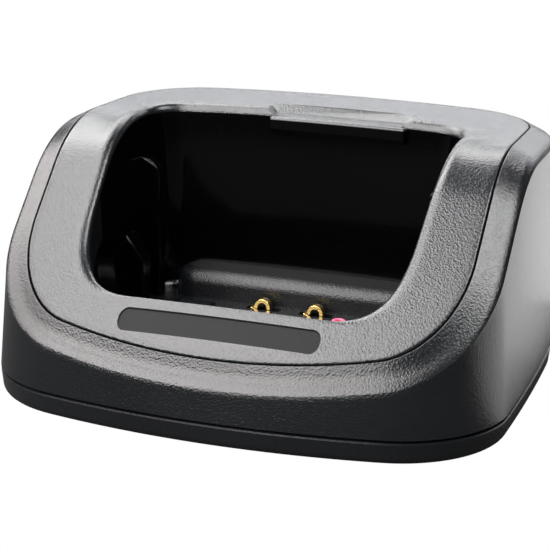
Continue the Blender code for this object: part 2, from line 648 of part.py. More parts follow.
def main():
    clear_scene()
    shell_black = material("shell_plastic", (0.03, 0.031, 0.034), 0.42)
    base_black = material("base_plastic", (0.02, 0.021, 0.023), 0.5)
    rubber = material("foot_rubber", (0.012, 0.012, 0.012), 0.85)
    steel = material("screw_steel", (0.32, 0.32, 0.33), 0.35, 1.0)
    gold = material("contact_gold", (0.83, 0.6, 0.2), 0.25, 1.0)
    tin = material("tinned_metal", (0.6, 0.6, 0.6), 0.35, 1.0)
    board_green = material("board_green", (0.02, 0.12, 0.05), 0.45)
    package = material("package_black", (0.015, 0.015, 0.016), 0.5)
    can = material("capacitor_sleeve", (0.02, 0.03, 0.06), 0.4)
    ceramic = material("ceramic", (0.05, 0.05, 0.05), 0.5)
    copper = material("winding_copper", (0.45, 0.17, 0.07), 0.4, 1.0)
    led_red = material("led_lens", (0.75, 0.12, 0.16), 0.15)

    make_outer_shell(shell_black)
    make_pocket_bezel(shell_black)
    make_base_cover(base_black)
    make_feet(rubber)
    make_screws(steel)
    make_contacts(gold, package)
    make_jack(package, tin)
    make_board(board_green)
    make_led(led_red, tin)
    make_components(package, can, ceramic, copper)


main()
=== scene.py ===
"""Looks for the desktop charging cradle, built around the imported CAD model.

Frame: +X to the user's right, +Y to the back, +Z up. Sizes are in millimetres until a mesh is finished.
"""

import math
from collections import namedtuple

import bmesh
import bpy
from mathutils import Matrix, Vector


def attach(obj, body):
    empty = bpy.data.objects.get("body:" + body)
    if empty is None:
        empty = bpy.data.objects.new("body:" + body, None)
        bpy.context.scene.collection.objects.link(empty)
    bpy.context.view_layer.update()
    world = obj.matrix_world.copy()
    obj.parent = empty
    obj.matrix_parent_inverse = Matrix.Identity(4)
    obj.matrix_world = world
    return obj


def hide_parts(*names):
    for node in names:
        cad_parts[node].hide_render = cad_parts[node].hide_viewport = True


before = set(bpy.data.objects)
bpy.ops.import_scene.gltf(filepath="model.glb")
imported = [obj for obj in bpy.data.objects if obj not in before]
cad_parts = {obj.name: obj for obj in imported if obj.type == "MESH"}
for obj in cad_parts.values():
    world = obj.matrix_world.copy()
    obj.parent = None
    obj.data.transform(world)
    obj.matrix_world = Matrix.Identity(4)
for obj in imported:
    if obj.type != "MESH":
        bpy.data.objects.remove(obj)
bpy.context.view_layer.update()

MM = 0.001

# ---- driving dimensions, the same as in the CAD ------------------------------------------------------------
FOOT_RISE = 0.6
PARTING_Z = 4.95
TOP_Z = 47.8
SLOPE = math.radians(45.0)
BEND_Y = -5.2
BEND_RADIUS = 24.0
CROWN = 1.3
HALF_WIDTH = 47.0
WALL = 2.0
SHOULDER_WIDTH = 3.75
SHOULDER_SPREAD = 0.6
SHOULDER_ROLL = math.radians(25.0)
CREASE_STEP = 0.9
FLOOR_Z = 11.6
FLOOR_THICKNESS = 1.8
LEDGE_Z = 17.0
LEDGE_Y = (4.7, 10.6)
LEDGE_HALF_WIDTH = 24.5
TONGUE_X = (-8.6, 20.0)     # locating tongue on the rear rim
TONGUE_FRONT_Y = 12.5
TONGUE_STEP_Y = (17.4, 19.6)
TONGUE_DROP = 1.25
FIN_FACE = 25.8             # inner faces of the side fins
REAR_FIN_Y = (2.6, 5.4)
REAR_FIN_TOP = 38.5
FRONT_FIN_Y = (-5.6, -1.6)
FRONT_FIN_TOP = 25.4
FRONT_FIN_SLOPE = 4.5
POCKET_DRAFT = math.tan(math.radians(3.5))
MOUTH_FILLET = 1.9
FRONT_FILLET = 0.45
LEAD_IN = (2.0, 4.2)        # extra rounding out and down in the front corners
CONTACTS_X = (-4.8, 5.6)
CONTACT_Y = 2.9
CONTACT_ROOT = 6.0
CONTACT_ROOT_Z = 7.7
CONTACT_WIDTH = 1.6
CONTACT_THICKNESS = 0.3
LED_PLACE = (11.2, -0.9)
JACK_Z = 13.0
FRONT_POST = (34.2, -21.5)
REAR_POST = (32.2, 25.0)
FOOT_PLACE = (24.0, 32.0)
FOOT_RADIUS = 4.0
PLATE_X = 18.0
PLATE_Y = (-35.6, -32.4)
PLATE_DEPTH = 0.35

Outline = namedtuple("Outline", "half_width widest_y front_y back_y front_bow side_bow back_bow "
                                "front_corner back_corner")
BODY = Outline(HALF_WIDTH, 1.5, -40.9, 40.9, 145.0, 600.0, 600.0, 21.0, 19.5)
GROOVE = Outline(40.4, 1.7, -38.0, 34.2, 138.0, 846.0, 846.0, 15.3, 13.8)
POCKET = Outline(28.4, 4.0, -30.25, 12.4, 2000.0, 846.0, 250.0, 12.5, 4.0)

# ---- dimensions of the visible detail ----------------------------------------------------------------------
SECTION_STEPS = (24, 22, 24, 20, 24)    # points on each arc of an outline, more than in the CAD
SHARP_ANGLE = math.radians(22.0)
WALL_NORMAL_Z = 0.30        # a face whose normal rises less than this is a wall
LIP_GAP = 0.08              # half the visible width of the groove
BASE_EDGE = 1.5
SCREW_HOLE_RADIUS = 2.9
JACK_HOLE_RADIUS = 4.5
LEDGE_BACK_Y = 14.8         # behind the pocket's wall, so that the round back edge stays hidden
LEDGE_CORNER = 5.0
LEDGE_EDGE = 2.8
HEAD_RADIUS = 1.2           # the round head of a contact
HEAD_Z = FLOOR_Z + 0.4
HEAD_THICKENING = 2.3
LED_TOP = FLOOR_Z + 0.75
LED_FOOT = FLOOR_Z - 2.2
LED_HOLE_RADIUS = 1.85
DOME_RADIUS = 0.6
SIDE_RECESS = (-18.3, 1.5)  # middle of the oval recess in the left of the pocket's floor


# ---- outlines and the top face -----------------------------------------------------------------------------
def circles_meet(centre_a, radius_a, centre_b, radius_b, back):
    """The crossing of two circles on the +X side that lies further back, or further forward."""
    between = centre_b - centre_a
    distance = between.length
    along = (distance**2 + radius_a**2 - radius_b**2) / (2 * distance)
    across = math.sqrt(max(radius_a**2 - along**2, 0.0))
    unit = between / distance
    middle = centre_a + unit * along
    side = Vector((-unit.y, unit.x)) * across
    found = [p for p in (middle + side, middle - side) if p.x > 0]
    return max(found, key=lambda p: p.y) if back else min(found, key=lambda p: p.y)


def outline(shape):
    """Points of an outline and their outward normals, counter-clockwise from the front centre."""
    front = Vector((0, shape.front_y + shape.front_bow))
    side = Vector((shape.half_width - shape.side_bow, shape.widest_y))
    back = Vector((0, shape.back_y - shape.back_bow))
    corner_1 = circles_meet(front, shape.front_bow - shape.front_corner,
                            side, shape.side_bow - shape.front_corner, back=False)
    corner_2 = circles_meet(side, shape.side_bow - shape.back_corner,
                            back, shape.back_bow - shape.back_corner, back=True)

    def heading(frm, to):
        return math.atan2(to.y - frm.y, to.x - frm.x)

    turns = [-math.pi / 2, heading(front, corner_1), heading(side, corner_1),
             heading(side, corner_2), heading(back, corner_2), math.pi / 2]
    centres = [front, corner_1, side, corner_2, back]
    radii = [shape.front_bow, shape.front_corner, shape.side_bow, shape.back_corner, shape.back_bow]
    half = []
    for centre, radius, start, end, steps in zip(centres, radii, turns, turns[1:], SECTION_STEPS):
        for i in range(steps):
            angle = start + (end - start) * i / steps
            normal = Vector((math.cos(angle), math.sin(angle)))
            half.append((centre + normal * radius, normal))
    half.append((Vector((0, shape.back_y)), Vector((0, 1))))
    mirror = [(Vector((-p.x, p.y)), Vector((-n.x, n.y))) for p, n in reversed(half[1:-1])]
    return half + mirror


def top_height(x, y):
    """The top face: a straight slope, a round bend, a level rear part, and a slight crown across."""
    tangent = BEND_RADIUS * math.tan(SLOPE / 2)
    bend_start = BEND_Y - tangent * math.cos(SLOPE)
    bend_end = BEND_Y + tangent
    if y < bend_start:
        height = TOP_Z + math.tan(SLOPE) * (y - BEND_Y)
    elif y < bend_end:
        height = TOP_Z - BEND_RADIUS + math.sqrt(BEND_RADIUS**2 - (bend_end - y)**2)
    else:
        height = TOP_Z
    return height - CROWN * (x / HALF_WIDTH) ** 2


def top_normal(x, y):
    """The upward normal of the top face."""
    step = 0.05
    slope_x = (top_height(x + step, y) - top_height(x - step, y)) / (2 * step)
    slope_y = (top_height(x, y + step) - top_height(x, y - step)) / (2 * step)
    return Vector((-slope_x, -slope_y, 1)).normalized()


def flat_ring(shape, grow, z):
    """A level ring, parallel to an outline."""
    return [Vector((*(p + n * grow), z)) for p, n in outline(shape)]


def top_ring(shape, grow, sink=0.0):
    """A ring parallel to an outline in plan, at a depth measured square to the top face."""
    ring = []
    for p, n in outline(shape):
        at = p + n * grow
        ring.append(Vector((at.x, at.y, top_height(at.x, at.y))) - top_normal(at.x, at.y) * sink)
    return ring


def mouth_size(normal):
    """How far the pocket's mouth rounds out and down, for a direction out of the pocket."""
    front = max(-normal.y, 0.0)
    corner = 4 * (front * normal.x) ** 2
    radius = FRONT_FILLET + (MOUTH_FILLET - FRONT_FILLET) * (1 - front**2)
    return radius + LEAD_IN[0] * corner, radius + LEAD_IN[1] * corner


def mouth_ring(out_share, down_share, extra=0.0):
    """A ring of the pocket's mouth: shares of the rounding out and down, plus an extra offset outwards."""
    ring = []
    for p, n in outline(POCKET):
        out_size, down_size = mouth_size(n)
        start = out_size * out_share + extra
        out = start
        for _ in range(12):
            at = p + n * out
            z = top_height(at.x, at.y) - down_size * down_share
            out = start + POCKET_DRAFT * (z - FLOOR_Z)
        ring.append(Vector((at.x, at.y, z)))
    return ring


def wall_ring(z, grow=0.0):
    """A level ring of the pocket's drafted wall."""
    return flat_ring(POCKET, grow + POCKET_DRAFT * (z - FLOOR_Z), z)


def shoulder_ring(share, sink=0.0):
    """The shell's shoulder: it leaves the groove and rolls down to the crease, where share is 1."""
    groove = top_ring(GROOVE, 0.0)
    ring = []
    for i, p in enumerate(groove):
        along = (groove[(i + 1) % len(groove)] - groove[i - 1]).normalized()
        up = top_normal(p.x, p.y)
        out = along.cross(up)
        width = share * (SHOULDER_WIDTH + SHOULDER_SPREAD * abs(out.x))
        rolled_out = out * math.cos(SHOULDER_ROLL) - up * math.sin(SHOULDER_ROLL)
        rolled_up = up * math.cos(SHOULDER_ROLL) + out * math.sin(SHOULDER_ROLL)
        ring.append(p + rolled_out * width - rolled_up * sink)
    return ring


def tongue_rings(round_steps):
    """The locating tongue: a pad below the rear rim that reaches forward over the pocket."""
    left, right = TONGUE_X
    stations = ((left, 14.9), (left + 1.1, TONGUE_FRONT_Y), (left + 9.0, TONGUE_FRONT_Y - 0.1),
                (right - 9.0, TONGUE_FRONT_Y - 0.1), (right - 1.6, TONGUE_FRONT_Y), (right, 14.9))
    radius = 0.6
    rings = []
    for x, front in stations:
        top = top_height(x, 20.0) - TONGUE_DROP - 0.18
        profile = [(16.4, top + 0.12)]
        for i in range(round_steps + 1):
            angle = i / round_steps * math.pi / 2
            profile.append((front + radius * (1 - math.sin(angle)), top - radius * (1 - math.cos(angle))))
        profile += [(front, top - 2.2), (15.9, top - 5.0), (16.4, top - 5.0)]
        rings.append([Vector((x, y, z)) for y, z in profile])
    return rings


def tongue_step():
    """The cut above the tongue: the level rear face steps down to it, with a ramp at each end."""
    left, right = TONGUE_X
    rings = []
    for x, share in ((left - 0.4, 0.0), (left + 0.9, 1.0), (right - 2.4, 1.0), (right + 0.4, 0.0)):
        top = top_height(x, 20.0)
        low, high = TONGUE_STEP_Y
        profile = ((high, top + 0.02), (low, top + 0.02 - TONGUE_DROP * share),
                   (11.0, top + 0.02 - (TONGUE_DROP + 0.2) * share), (11.0, top + 3.0), (high, top + 3.0))
        rings.append([Vector((x, y, z)) for y, z in profile])
    return rings


def fin_rings(side, span, crest):
    """A fin on the pocket's side wall. Its crest is (share, z) points: 1 at its inner face, 0 at the wall."""
    low = FLOOR_Z - 0.5
    high = crest[-1][1]

    def wall(z):
        return POCKET.half_width + POCKET_DRAFT * (z - FLOOR_Z)

    points = [(wall(low) + 1.2, low), (FIN_FACE, low)]
    points += [(wall(z) + (FIN_FACE - wall(z)) * share, z) for share, z in crest]
    points.append((wall(high) + 1.2, high))
    return [[Vector((side * x, y, z)) for x, z in points] for y in span]


def rear_crest(steps):
    """A quarter round from the fin's inner face up to the wall."""
    drop = 4.0
    angles = [math.pi / 2 * i / steps for i in range(steps + 1)]
    return [(math.cos(a), REAR_FIN_TOP - drop + drop * math.sin(a)) for a in angles]


def front_crest():
    """A straight ramp from the fin's inner face up to the wall."""
    return [(1.0, FRONT_FIN_TOP - FRONT_FIN_SLOPE), (0.0, FRONT_FIN_TOP)]


def blend(ring_a, ring_b, share):
    """A ring between two others."""
    return [a.lerp(b, share) for a, b in zip(ring_a, ring_b)]


def stepped(ring, out, down):
    """A ring moved outwards in plan and down."""
    moved = []
    for i, p in enumerate(ring):
        along = ring[(i + 1) % len(ring)] - ring[i - 1]
        normal = Vector((along.y, -along.x, 0)).normalized()
        moved.append(p + normal * out - Vector((0, 0, down)))
    return moved


def eased(ring_a, ring_corner, ring_b, steps):
    """Rings of a round edge: a quadratic curve from ring_a to ring_b that bends at ring_corner."""
    rings = []
    for i in range(1, steps):
        t = i / steps
        rings.append(blend(blend(ring_a, ring_corner, t), blend(ring_corner, ring_b, t), t))
    return rings


# ---- meshes ------------------------------------------------------------------------------------------------
def loft(rings, closed):
    """Bridge rings of equal count, and either join the last to the first or cap both ends."""
    bm = bmesh.new()
    loops = [[bm.verts.new(p) for p in ring] for ring in rings]
    pairs = list(zip(loops, loops[1:]))
    if closed:
        pairs.append((loops[-1], loops[0]))
    for lower, upper in pairs:
        for i in range(len(lower)):
            j = (i + 1) % len(lower)
            bm.faces.new((lower[i], lower[j], upper[j], upper[i]))
    if not closed:
        bm.faces.new(list(reversed(loops[0])))
        bm.faces.new(loops[-1])
    return bm


def round_plan(low, high, radius, steps=8):
    """Points of a rectangle with round corners."""
    ring = []
    corners = ((high[0], high[1], 0), (low[0], high[1], 1), (low[0], low[1], 2), (high[0], low[1], 3))
    for x, y, quarter in corners:
        centre_x = x - math.copysign(radius, x - (low[0] + high[0]) / 2)
        centre_y = y - math.copysign(radius, y - (low[1] + high[1]) / 2)
        for i in range(steps + 1):
            angle = (quarter + i / steps) * math.pi / 2
            ring.append(Vector((centre_x + radius * math.cos(angle), centre_y + radius * math.sin(angle), 0)))
    return ring


def round_box(low, high, radius, steps=8):
    """A box with round upright edges."""
    ring = round_plan(low, high, radius, steps)
    return loft([[p + Vector((0, 0, z)) for p in ring] for z in (low[2], high[2])], closed=False)


def soft_block(low, high, radius, edge, steps=8, edge_steps=5):
    """A block with round upright edges and a round top edge."""
    rings = [[p + Vector((0, 0, low[2])) for p in round_plan(low, high, radius, steps)]]
    for i in range(edge_steps + 1):
        angle = i / edge_steps * math.pi / 2
        inset = edge * (1 - math.cos(angle))
        plan = round_plan((low[0] + inset, low[1] + inset), (high[0] - inset, high[1] - inset),
                          max(radius - inset, 0.05), steps)
        z = high[2] - edge + edge * math.sin(angle)
        rings.append([p + Vector((0, 0, z)) for p in plan])
    return loft(rings, closed=False)


def turned(profile, place, steps=48, axis="Z"):
    """A round solid from (radius, height) pairs, about an axis through a place."""
    rings = []
    for radius, height in profile:
        ring = []
        for i in range(steps):
            angle = 2 * math.pi * i / steps
            a, b = radius * math.cos(angle), radius * math.sin(angle)
            ring.append(Vector((a, b, height) if axis == "Z" else (a, height, b)) + Vector(place))
        rings.append(ring)
    return loft(rings, closed=False)


def make_object(name, bm, material):
    """Turn a mesh in millimetres into an object in metres, smooth but for its sharp edges."""
    bmesh.ops.remove_doubles(bm, verts=bm.verts, dist=1e-4)
    bmesh.ops.recalc_face_normals(bm, faces=bm.faces)
    bmesh.ops.scale(bm, vec=(MM, MM, MM), verts=bm.verts)
    mesh = bpy.data.meshes.new(name)
    bm.to_mesh(mesh)
    bm.free()
    mesh.shade_smooth()
    mesh.set_sharp_from_angle(angle=SHARP_ANGLE)
    made = bpy.data.objects.new(name, mesh)
    bpy.context.scene.collection.objects.link(made)
    if material is not None:
        mesh.materials.append(material)
    return made


def cut(body, tools):
    """Cut other meshes out of an object, and leave the finished mesh on it."""
    cutters = []
    for i, tool in enumerate(tools):
        cutter = make_object(f"{body.name}_tool_{i}", tool, None)
        modifier = body.modifiers.new(cutter.name, "BOOLEAN")
        modifier.operation = "DIFFERENCE"
        modifier.solver = "EXACT"
        modifier.object = cutter
        cutters.append(cutter)
    bpy.context.view_layer.update()
    evaluated = body.evaluated_get(bpy.context.evaluated_depsgraph_get())
    mesh = bpy.data.meshes.new_from_object(evaluated)
    body.modifiers.clear()
    old = body.data
    body.data = mesh
    bpy.data.meshes.remove(old)
    for cutter in cutters:
        bpy.data.objects.remove(cutter, do_unlink=True)
    body.data.shade_smooth()
    body.data.set_sharp_from_angle(angle=SHARP_ANGLE)


def break_edges(made, width, segments, angle):
    """Round the edges that are sharper than an angle in degrees, by a width in millimetres."""
    bevel = made.modifiers.new("edges", "BEVEL")
    bevel.width = width * MM
    bevel.segments = segments
    bevel.limit_method = "ANGLE"
    bevel.angle_limit = math.radians(angle)


def piece(made, body="cradle", replaces=()):
    """Attach a finished object to its body, and hide the CAD nodes that it replaces."""
    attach(made, body)
    if replaces:
        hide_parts(*replaces)


# ---- materials ---------------------------------------------------------------------------------------------
class Nodes:
    """A short way to build a node material around one Principled shader."""

    def __init__(self, name, roughness, metallic=0.0, specular=0.5):
        self.material = bpy.data.materials.new(name)
        self.material.use_nodes = True
        self.tree = self.material.node_tree
        self.shader = self.tree.nodes["Principled BSDF"]
        self.shader.inputs["Roughness"].default_value = roughness
        self.shader.inputs["Metallic"].default_value = metallic
        self.shader.inputs["Specular IOR Level"].default_value = specular
        self.place = self.tree.nodes.new("ShaderNodeTexCoord").outputs["Object"]

    def node(self, kind, **inputs):
        """A node whose inputs are set to values or linked to sockets."""
        made = self.tree.nodes.new(kind)
        for key, value in inputs.items():
            socket = made.inputs[key.replace("_", " ")]
            if isinstance(value, bpy.types.NodeSocket):
                self.tree.links.new(value, socket)
            else:
                socket.default_value = value
        return made

    def noise(self, scale, detail=2.0, roughness=0.5):
        """Noise with `scale` cells per millimetre."""
        return self.node("ShaderNodeTexNoise", Vector=self.place, Scale=scale / MM, Detail=detail,
                         Roughness=roughness).outputs["Fac"]

    def cells(self, scale, smooth=0.6):
        """Soft cells, `scale` of them per millimetre."""
        made = self.node("ShaderNodeTexVoronoi", Vector=self.place, Scale=scale / MM)
        made.feature = "SMOOTH_F1"
        made.inputs["Smoothness"].default_value = smooth
        return made.outputs["Distance"]

    def ramp(self, value, stops):
        """Colours by value, from (position, colour) stops."""
        made = self.node("ShaderNodeValToRGB", Fac=value)
        band = made.color_ramp
        while len(band.elements) < len(stops):
            band.elements.new(0.5)
        for element, (position, colour) in zip(band.elements, stops):
            element.position = position
            element.color = (*colour, 1.0)
        return made.outputs["Color"]

    def mix(self, a, b, share):
        """A number between a and b."""
        mixed = self.tree.nodes.new("ShaderNodeMix")
        mixed.data_type = "FLOAT"
        mixed.inputs["Factor"].default_value = share
        self.tree.links.new(a, mixed.inputs["A"])
        self.tree.links.new(b, mixed.inputs["B"])
        return mixed.outputs["Result"]

    def mix_output(self, share, shader):
        """Show another shader instead of the Principled one, by a share."""
        mixed = self.tree.nodes.new("ShaderNodeMixShader")
        self.tree.links.new(share, mixed.inputs["Fac"])
        self.tree.links.new(self.shader.outputs["BSDF"], mixed.inputs[1])
        self.tree.links.new(shader, mixed.inputs[2])
        self.tree.links.new(mixed.outputs["Shader"], self.tree.nodes["Material Output"].inputs["Surface"])

    def link(self, output, name):
        """Link an output to a socket of the Principled shader."""
        self.tree.links.new(output, self.shader.inputs[name])

    def bump(self, height, depth):
        """Bump of a given depth in millimetres."""
        made = self.node("ShaderNodeBump", Height=height, Distance=depth * MM, Strength=1.0)
        self.link(made.outputs["Normal"], "Normal")


def grey(value, blue=0.0):
    """A grey, or a cool grey when blue is above 0."""
    return (value, value * (1 + blue * 0.4), value * (1 + blue))


def moulded_plastic(name, dark, light, roughness, grain, depth, specular=0.5):
    """Black plastic with a fine grain. grain is in cells per millimetre, and depth is in millimetres."""
    nodes = Nodes(name, roughness, specular=specular)
    fine = nodes.noise(grain, 3.0, 0.6)
    pits = nodes.cells(grain * 0.8)
    height = nodes.mix(fine, pits, 0.45)
    broad = nodes.noise(0.05, 2.0)
    colour = nodes.ramp(nodes.mix(fine, broad, 0.4), [(0.35, grey(dark, 0.4)), (0.68, grey(light, 0.3))])
    nodes.link(colour, "Base Color")
    rough = nodes.ramp(fine, [(0.3, grey(roughness * 0.85)), (0.7, grey(min(1.0, roughness * 1.15)))])
    nodes.link(rough, "Roughness")
    nodes.bump(height, depth)
    return nodes.material


def plain(name, dark, light, roughness, metallic=0.0, scale=1.2):
    """A surface with slight mottling in colour and roughness."""
    nodes = Nodes(name, roughness, metallic)
    fine = nodes.noise(scale, 3.0)
    nodes.link(nodes.ramp(fine, [(0.3, dark), (0.7, light)]), "Base Color")
    rough = nodes.ramp(fine, [(0.3, grey(roughness * 0.8)), (0.7, grey(min(1.0, roughness * 1.25)))])
    nodes.link(rough, "Roughness")
    nodes.bump(fine, 0.01)
    return nodes.material


# ---- housing -----------------------------------------------------------------------------------------------
def shell_piece(material):
    """The outside wall: up from the parting line, over the crease and the shoulder, and into the groove."""
    crease = shoulder_ring(1.0)
    wall_low = flat_ring(BODY, 0.0, PARTING_Z)
    wall_high = stepped(crease, CREASE_STEP, CREASE_STEP * 1.3)
    inner_low = flat_ring(BODY, -WALL, PARTING_Z)
    inner_high = shoulder_ring(0.6, WALL)
    near_crease = shoulder_ring(0.8)
    lip_top = shoulder_ring(0.10)
    lip_side = top_ring(GROOVE, LIP_GAP, 0.5)
    rings = [flat_ring(BODY, -0.2, PARTING_Z), blend(wall_low, wall_high, 0.008)]
    rings += [blend(wall_low, wall_high, share) for share in (0.03, 0.3, 0.6, 0.85)]
    rings += [wall_high] + eased(wall_high, stepped(crease, CREASE_STEP * 0.45, 0.1), near_crease, 8)
    rings += [near_crease, shoulder_ring(0.45), lip_top]
    rings += eased(lip_top, top_ring(GROOVE, LIP_GAP, 0.0), lip_side, 5)
    rings += [lip_side, top_ring(GROOVE, LIP_GAP, WALL)]
    rings += [inner_high, blend(inner_high, inner_low, 0.5), inner_low]
    shell = make_object("outer_shell_skin", loft(rings, closed=True), material)
    cut(shell, [turned([(JACK_HOLE_RADIUS, 36.0), (JACK_HOLE_RADIUS, 43.0)], (0, 0, JACK_Z), axis="Y")])
    piece(shell, replaces=["outer_shell"])


def oval(middle, half_length, half_width, depth):
    """A flat-sided oval cutter that runs along X and reaches a depth into the pocket's floor."""
    x, y = middle
    return round_box((x - half_length, y - half_width, FLOOR_Z - depth),
                     (x + half_length, y + half_width, FLOOR_Z + 1), half_width - 0.01, 10)


def plate_recess(end_steps, middle_steps):
    """The blank name panel: a shallow cut that follows the sloped face, with round ends."""
    middle_y = (PLATE_Y[0] + PLATE_Y[1]) / 2
    half = (PLATE_Y[1] - PLATE_Y[0]) / 2
    straight = PLATE_X - half
    angles = [math.radians(15 + 75 * i / end_steps) for i in range(end_steps + 1)]
    right = [(straight + half * math.cos(a), half * math.sin(a)) for a in angles]
    middle = [(straight * (1 - 2 * i / middle_steps), half) for i in range(1, middle_steps)]
    left = [(-x, reach) for x, reach in reversed(right)]
    rings = []
    for x, reach in right + middle + left:
        front, back = middle_y - reach, middle_y + reach
        corners = ((front, -PLATE_DEPTH), (back, -PLATE_DEPTH), (back, 2.0), (front, 2.0))
        rings.append([Vector((x, y, top_height(x, y) + rise)) for y, rise in corners])
    return loft(rings, closed=False)


def colour_faces(mesh):
    """The pocket's walls are polished, and their much darker colour (material 1) is painted shade inside the
    pocket; the floor of the name panel is darker (material 2).
    The grain reaches further down into the pocket at the front than at the back."""
    for face in mesh.polygons:
        x, y, z = (v / MM for v in face.center)
        depth = top_height(x, y) - z
        in_pocket = abs(x) < 33.0 and -31.0 < y < 16.5 and z > FLOOR_Z + 0.3
        grained_depth = 6.0 if y < -16.0 else 1.6
        # faces deep in the pocket get the darker polished material: real gloss, with painted shade in its
        # colour
        if in_pocket and face.normal.z < WALL_NORMAL_Z and depth > grained_depth:
            face.material_index = 1
        if abs(x) < PLATE_X and PLATE_Y[0] < y < PLATE_Y[1] and PLATE_DEPTH * 0.8 < depth < 1.0:
            face.material_index = 2


def bezel_piece(material, polished_and_shaded, panel):
    """The pocket and the face around it: from the pocket's floor up, over the mouth and into the groove."""
    bottom = FLOOR_Z - FLOOR_THICKNESS
    floor_edge = wall_ring(FLOOR_Z, -1.6)
    wall_foot = wall_ring(FLOOR_Z + 1.6)
    wall_top = mouth_ring(0.0, 1.0)
    mouth_out = mouth_ring(1.0, 0.0)
    edge_in = top_ring(GROOVE, -0.6)
    edge_side = top_ring(GROOVE, -LIP_GAP, 0.5)
    rings = [floor_edge] + eased(floor_edge, wall_ring(FLOOR_Z), wall_foot, 6) + [wall_foot]
    rings += [blend(wall_foot, wall_top, share) for share in (0.33, 0.66)]
    rings += [wall_top] + eased(wall_top, mouth_ring(0.0, 0.0), mouth_out, 10) + [mouth_out]
    rings += [blend(mouth_out, edge_in, share) for share in (0.08, 0.35, 0.65, 0.92)]
    rings += [edge_in] + eased(edge_in, top_ring(GROOVE, -LIP_GAP), edge_side, 5) + [edge_side]
    rings += [top_ring(GROOVE, -0.35, WALL), top_ring(GROOVE, -2.9, WALL), mouth_ring(0.0, 1.0, WALL),
              wall_ring(FLOOR_Z, WALL), wall_ring(bottom, WALL - 0.6)]
    bezel = make_object("pocket_bezel_skin", loft(rings, closed=False), material)
    slots = [round_box((x - 3.2, CONTACT_Y - 1.15, bottom - 1), (x + 3.4, CONTACT_Y + 1.15, FLOOR_Z + 1), 0.5)
             for x in CONTACTS_X]
    led_hole = turned([(LED_HOLE_RADIUS, bottom - 1), (LED_HOLE_RADIUS, FLOOR_Z + 1)], (*LED_PLACE, 0))
    recesses = [oval(LED_PLACE, 2.6, 1.5, 0.5), oval(SIDE_RECESS, 4.3, 1.6, 0.6)]
    cut(bezel, slots + [led_hole, plate_recess(12, 12), loft(tongue_step(), closed=False)] + recesses)
    bezel.data.materials.append(polished_and_shaded)
    bezel.data.materials.append(panel)
    colour_faces(bezel.data)
    piece(bezel, replaces=["pocket_bezel"])


def base_piece(material):
    """The base tray, with a round lower edge, and holes for the feet and the screws."""
    low = flat_ring(BODY, -0.3 - BASE_EDGE, FOOT_RISE)
    side = flat_ring(BODY, -0.3, FOOT_RISE + BASE_EDGE)
    rings = [low] + eased(low, flat_ring(BODY, -0.3, FOOT_RISE), side, 8) + [side]
    rings += [flat_ring(BODY, -0.05, PARTING_Z - 0.75), flat_ring(BODY, -0.12, PARTING_Z - 0.5),
              flat_ring(BODY, -0.45, PARTING_Z - 0.38), flat_ring(BODY, -WALL, PARTING_Z - 0.38)]
    base = make_object("base_cover_skin", loft(rings, closed=False), material)
    feet = [(sx * FOOT_PLACE[0], sy * FOOT_PLACE[1], 0) for sx in (-1, 1) for sy in (-1, 1)]
    posts = [(sx * post[0], post[1], 0) for sx in (-1, 1) for post in (FRONT_POST, REAR_POST)]
    holes = [turned([(FOOT_RADIUS + 0.3, -1.0), (FOOT_RADIUS + 0.3, 1.4)], place) for place in feet]
    holes += [turned([(SCREW_HOLE_RADIUS, -1.0), (SCREW_HOLE_RADIUS, 2.6)], place) for place in posts]
    cut(base, holes)
    piece(base, replaces=["base_cover"])


def leaf_path(middle):
    """Points of a contact leaf, from its root on the board, over the round head, to the curled free end."""
    path = [(CONTACT_ROOT, CONTACT_ROOT_Z), (4.4, CONTACT_ROOT_Z), (2.9, CONTACT_ROOT_Z + 0.5),
            (1.7, CONTACT_ROOT_Z + 1.6), (HEAD_RADIUS, HEAD_Z)]
    for i in range(1, 16):
        angle = math.pi * i / 16
        path.append((HEAD_RADIUS * math.cos(angle), HEAD_Z + HEAD_RADIUS * math.sin(angle)))
    path += [(-HEAD_RADIUS, HEAD_Z), (-1.35, FLOOR_Z - 0.2), (-1.8, FLOOR_Z - 0.1), (-2.3, FLOOR_Z + 0.1)]
    return [Vector((middle + x, 0, z)) for x, z in path]


def contact_pieces(material):
    """Sprung leaves bent from flat strip, with a thicker head and broken edges."""
    for middle, side in zip(CONTACTS_X, ("left", "right")):
        path = leaf_path(middle)
        rings = []
        for i, p in enumerate(path):
            along = (path[min(i + 1, len(path) - 1)] - path[max(i - 1, 0)]).normalized()
            thickness = CONTACT_THICKNESS * (HEAD_THICKENING if p.z > HEAD_Z - 0.05 else 1.0)
            across = Vector((-along.z, 0, along.x)) * (thickness / 2)
            half = Vector((0, CONTACT_WIDTH / 2, 0))
            centre = p + Vector((0, CONTACT_Y, 0))
            rings.append([centre + across - half, centre + across + half, centre - across + half,
                          centre - across - half])
        leaf = make_object(f"contact_leaf_{side}_skin", loft(rings, closed=False), material)
        break_edges(leaf, 0.05, 2, 50)
        piece(leaf, body=f"contact_{side}", replaces=[f"contact_leaf_{side}"])


